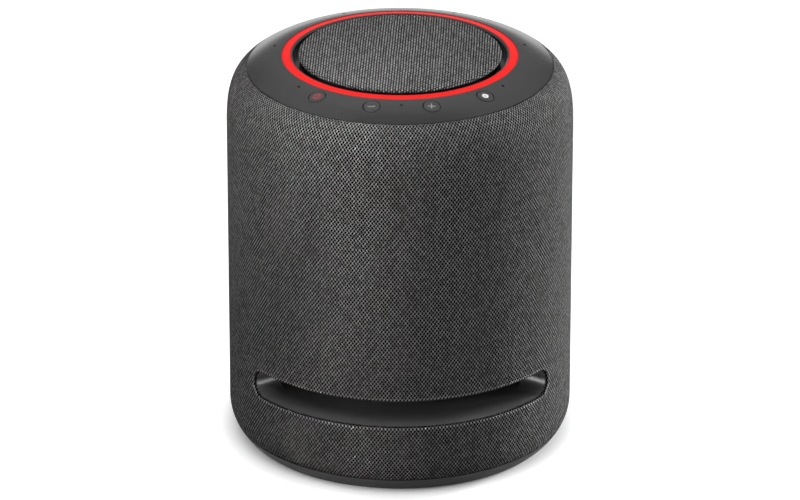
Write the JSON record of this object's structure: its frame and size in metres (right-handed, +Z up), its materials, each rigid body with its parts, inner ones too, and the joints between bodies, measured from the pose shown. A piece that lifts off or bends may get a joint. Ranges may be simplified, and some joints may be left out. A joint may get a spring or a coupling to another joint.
{
  "type": "smart speaker",
  "caption": "Round fabric-covered smart speaker with a bass slot low at the front, and on top a control ring with push buttons and a lit ring round a fabric panel.",
  "frame": {"origin": "middle of the foot's underside, on the surface that the speaker stands on", "axes": "+Z up along the body's axis; the front with the bass slot faces -Y; +X is the right-hand side seen from the front"},
  "size_m": [0.175, 0.175, 0.2065],
  "materials": {
    "body_fabric": "charcoal knitted cover over black",
    "panel_fabric": "charcoal ribbed cover",
    "base_plastic": "satin moulded",
    "ring_plastic": "satin moulded",
    "button_plastic": "satin moulded",
    "slot_plastic": "polished",
    "light_diffuser": "frosted diffuser, lit",
    "shell_plastic": "moulded",
    "cabinet_plastic": "moulded",
    "socket_plastic": "moulded",
    "socket_metal": "plated",
    "foot_rubber": "matt",
    "surround_rubber": "matt",
    "cone_paper": "coated paper",
    "spider_cloth": "impregnated cloth",
    "dome_silk": "coated silk",
    "frame_plastic": "moulded",
    "basket_metal": "painted",
    "magnet_ferrite": "ground ferrite",
    "motor_steel": "plated",
    "coil_copper": "copper winding",
    "screw_steel": "plated",
    "board_laminate": "glass-fibre laminate",
    "component_plastic": "moulded",
    "microphone_metal": "plated",
    "sink_aluminium": "extruded"
  },
  "bodies": {
    "housing": {"audio_socket": "socket_plastic", "base_screws": "screw_steel", "base_tray": "base_plastic", "board_components": "component_plastic", "board_screws": "screw_steel", "button_switches": "component_plastic", "cabinet": "cabinet_plastic", "cabinet_screws": "screw_steel", "chamber_screws": "screw_steel", "deck_screws": "screw_steel", "deflector": "slot_plastic", "driver_screws": "screw_steel", "fabric_sleeve": "body_fabric", "grille_shell": "shell_plastic", "heat_sink": "sink_aluminium", "left_mid_frame": "frame_plastic", "left_mid_motor": "motor_steel", "left_mid_surround": "surround_rubber", "light_ring": "light_diffuser", "main_board": "board_laminate", "mic_gaskets": "foot_rubber", "microphones": "microphone_metal", "port_panel": "base_plastic", "power_socket": "socket_plastic", "right_mid_frame": "frame_plastic", "right_mid_motor": "motor_steel", "right_mid_surround": "surround_rubber", "ring_board": "board_laminate", "ring_leds": "component_plastic", "rubber_foot": "foot_rubber", "service_socket": "socket_metal", "slot_liner": "slot_plastic", "top_bezel": "ring_plastic", "top_deck": "cabinet_plastic", "top_fabric": "panel_fabric", "top_grille": "shell_plastic", "top_mid_frame": "frame_plastic", "top_mid_motor": "motor_steel", "top_mid_surround": "surround_rubber", "tweeter_motor": "motor_steel", "tweeter_plate": "frame_plastic", "well_ring": "ring_plastic", "woofer_basket": "basket_metal", "woofer_magnet": "magnet_ferrite", "woofer_screws": "screw_steel", "woofer_spider": "spider_cloth", "woofer_surround": "surround_rubber", "woofer_top_plate": "motor_steel", "woofer_yoke": "motor_steel"},
    "mute_button": {"mute_button": "button_plastic"},
    "volume_down_button": {"volume_down_button": "button_plastic"},
    "volume_up_button": {"volume_up_button": "button_plastic"},
    "action_button": {"action_button": "button_plastic"},
    "woofer_cone": {"woofer_cone": "cone_paper", "woofer_dust_cap": "cone_paper", "woofer_coil": "coil_copper"},
    "left_mid_cone": {"left_mid_cone": "cone_paper"},
    "right_mid_cone": {"right_mid_cone": "cone_paper"},
    "top_mid_cone": {"top_mid_cone": "cone_paper"},
    "tweeter_dome": {"tweeter_dome": "dome_silk"}
  },
  "joints": [
    {"name": "mute_press", "type": "slide", "parent": "housing", "child": "mute_button", "axis": [0, 0, -1], "range_m": [0, 0.0005], "stiffness_N_per_m": 1000},
    {"name": "volume_down_press", "type": "slide", "parent": "housing", "child": "volume_down_button", "axis": [0, 0, -1], "range_m": [0, 0.0005], "stiffness_N_per_m": 1000},
    {"name": "volume_up_press", "type": "slide", "parent": "housing", "child": "volume_up_button", "axis": [0, 0, -1], "range_m": [0, 0.0005], "stiffness_N_per_m": 1000},
    {"name": "action_press", "type": "slide", "parent": "housing", "child": "action_button", "axis": [0, 0, -1], "range_m": [0, 0.0005], "stiffness_N_per_m": 1000},
    {"name": "woofer_stroke", "type": "slide", "parent": "housing", "child": "woofer_cone", "axis": [0, 0, -1], "range_m": [-0.005, 0.005], "stiffness_N_per_m": 1500, "deforming": ["woofer_surround", "woofer_spider"]},
    {"name": "left_mid_stroke", "type": "slide", "parent": "housing", "child": "left_mid_cone", "axis": [-1, 0, 0], "range_m": [-0.0015, 0.0015], "stiffness_N_per_m": 800, "deforming": ["left_mid_surround"]},
    {"name": "right_mid_stroke", "type": "slide", "parent": "housing", "child": "right_mid_cone", "axis": [1, 0, 0], "range_m": [-0.0015, 0.0015], "stiffness_N_per_m": 800, "deforming": ["right_mid_surround"]},
    {"name": "top_mid_stroke", "type": "slide", "parent": "housing", "child": "top_mid_cone", "axis": [0, 0, 1], "range_m": [-0.0015, 0.0015], "stiffness_N_per_m": 800, "deforming": ["top_mid_surround"]},
    {"name": "tweeter_stroke", "type": "slide", "parent": "housing", "child": "tweeter_dome", "axis": [0, -1, 0], "range_m": [-0.0003, 0.0003], "stiffness_N_per_m": 800}
  ]
}
